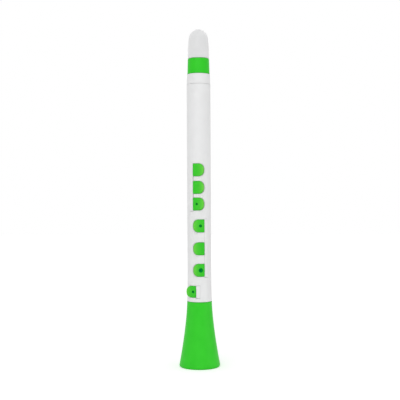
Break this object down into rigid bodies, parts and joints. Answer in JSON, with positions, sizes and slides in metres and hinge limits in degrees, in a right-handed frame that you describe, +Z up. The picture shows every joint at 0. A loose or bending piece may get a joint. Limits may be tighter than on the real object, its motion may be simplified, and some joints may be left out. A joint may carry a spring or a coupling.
{
  "type": "plastic clarinet",
  "caption": "Slim plastic clarinet with a capped mouthpiece, ring ligature, white body, soft green flap keys clamped under hinge bars, and a flared bell that it stands on.",
  "frame": {"origin": "centre of the bell's rim, in the plane that the instrument stands on", "axes": "+Z up along the bore to the cap, -Y out of the front where the finger keys are, +X to the right seen from the front"},
  "size_m": [0.041, 0.041, 0.338],
  "materials": {
    "white_plastic": "satin-gloss moulded white plastic",
    "cap_plastic": "soft satin white plastic",
    "green_plastic": "satin-gloss moulded green plastic",
    "green_silicone": "matt soft green silicone",
    "reed_plastic": "cloudy off-white plastic",
    "seal_rubber": "greased black rubber"
  },
  "bodies": {
    "body": {"body_tube": "white_plastic", "left_hand_spine": "green_silicone", "left_hand_hinge_bar": "white_plastic", "right_hand_spine": "green_silicone", "right_hand_hinge_bar": "white_plastic", "little_finger_spine": "green_silicone", "little_finger_hinge_bar": "white_plastic", "thumb_spine": "green_silicone", "thumb_hinge_bar": "white_plastic", "thumb_rest": "white_plastic"},
    "mouthpiece_seals": {"mouthpiece_seal_upper": "seal_rubber", "mouthpiece_seal_lower": "seal_rubber"},
    "mouthpiece": {"mouthpiece": "white_plastic", "reed": "reed_plastic"},
    "ligature": {"ligature": "green_plastic"},
    "mouthpiece_cap": {"mouthpiece_cap": "cap_plastic"},
    "bell_seal": {"bell_seal": "seal_rubber"},
    "bell": {"bell": "green_plastic"},
    "left_hand_key_1": {"left_hand_key_1": "green_silicone"},
    "left_hand_key_2": {"left_hand_key_2": "green_silicone"},
    "left_hand_key_3": {"left_hand_key_3": "green_silicone"},
    "right_hand_key_1": {"right_hand_key_1": "green_silicone"},
    "right_hand_key_2": {"right_hand_key_2": "green_silicone"},
    "right_hand_key_3": {"right_hand_key_3": "green_silicone"},
    "little_finger_key": {"little_finger_key": "green_silicone"},
    "thumb_key": {"thumb_key": "green_silicone"}
  },
  "joints": [
    {"name": "tuning_slide", "type": "slide", "parent": "body", "child": "mouthpiece_seals", "axis": [0, 0, 1], "range_m": [0, 0.01]},
    {"name": "mouthpiece_turn", "type": "hinge", "parent": "mouthpiece_seals", "child": "mouthpiece", "pos_m": [0, 0, 0.2826], "axis": [0, 0, 1], "continuous": true},
    {"name": "ligature_slide", "type": "slide", "parent": "mouthpiece", "child": "ligature", "axis": [0, 0, 1], "range_m": [0, 0.036]},
    {"name": "cap_lift", "type": "slide", "parent": "ligature", "child": "mouthpiece_cap", "axis": [0, 0, 1], "range_m": [0, 0.022]},
    {"name": "bell_turn", "type": "hinge", "parent": "body", "child": "bell_seal", "pos_m": [0, 0, 0.061], "axis": [0, 0, 1], "continuous": true},
    {"name": "bell_pull", "type": "slide", "parent": "bell_seal", "child": "bell", "axis": [0, 0, -1], "range_m": [0, 0.018]},
    {"name": "left_hand_key_1_press", "type": "hinge", "parent": "body", "child": "left_hand_key_1", "pos_m": [-0.00475, -0.0112, 0.1966], "axis": [0, 0, 1], "range_deg": [0, 12], "stiffness_Nm_per_rad": 0.02},
    {"name": "left_hand_key_2_press", "type": "hinge", "parent": "body", "child": "left_hand_key_2", "pos_m": [-0.00475, -0.0112, 0.1792], "axis": [0, 0, 1], "range_deg": [0, 12], "stiffness_Nm_per_rad": 0.02},
    {"name": "left_hand_key_3_press", "type": "hinge", "parent": "body", "child": "left_hand_key_3", "pos_m": [-0.00475, -0.0112, 0.1627], "axis": [0, 0, 1], "range_deg": [0, 12], "stiffness_Nm_per_rad": 0.02},
    {"name": "right_hand_key_1_press", "type": "hinge", "parent": "body", "child": "right_hand_key_1", "pos_m": [0.00475, -0.0112, 0.141], "axis": [0, 0, -1], "range_deg": [0, 12], "stiffness_Nm_per_rad": 0.02},
    {"name": "right_hand_key_2_press", "type": "hinge", "parent": "body", "child": "right_hand_key_2", "pos_m": [0.00475, -0.0112, 0.1184], "axis": [0, 0, -1], "range_deg": [0, 12], "stiffness_Nm_per_rad": 0.02},
    {"name": "right_hand_key_3_press", "type": "hinge", "parent": "body", "child": "right_hand_key_3", "pos_m": [0.00475, -0.0112, 0.0971], "axis": [0, 0, -1], "range_deg": [0, 12], "stiffness_Nm_per_rad": 0.02},
    {"name": "little_finger_key_press", "type": "hinge", "parent": "body", "child": "little_finger_key", "pos_m": [-0.00389, -0.01186, 0.0757], "axis": [0, 0, -1], "range_deg": [0, 12], "stiffness_Nm_per_rad": 0.02},
    {"name": "thumb_key_press", "type": "hinge", "parent": "body", "child": "thumb_key", "pos_m": [0.00475, 0.0112, 0.207], "axis": [0, 0, 1], "range_deg": [0, 12], "stiffness_Nm_per_rad": 0.02}
  ]
}
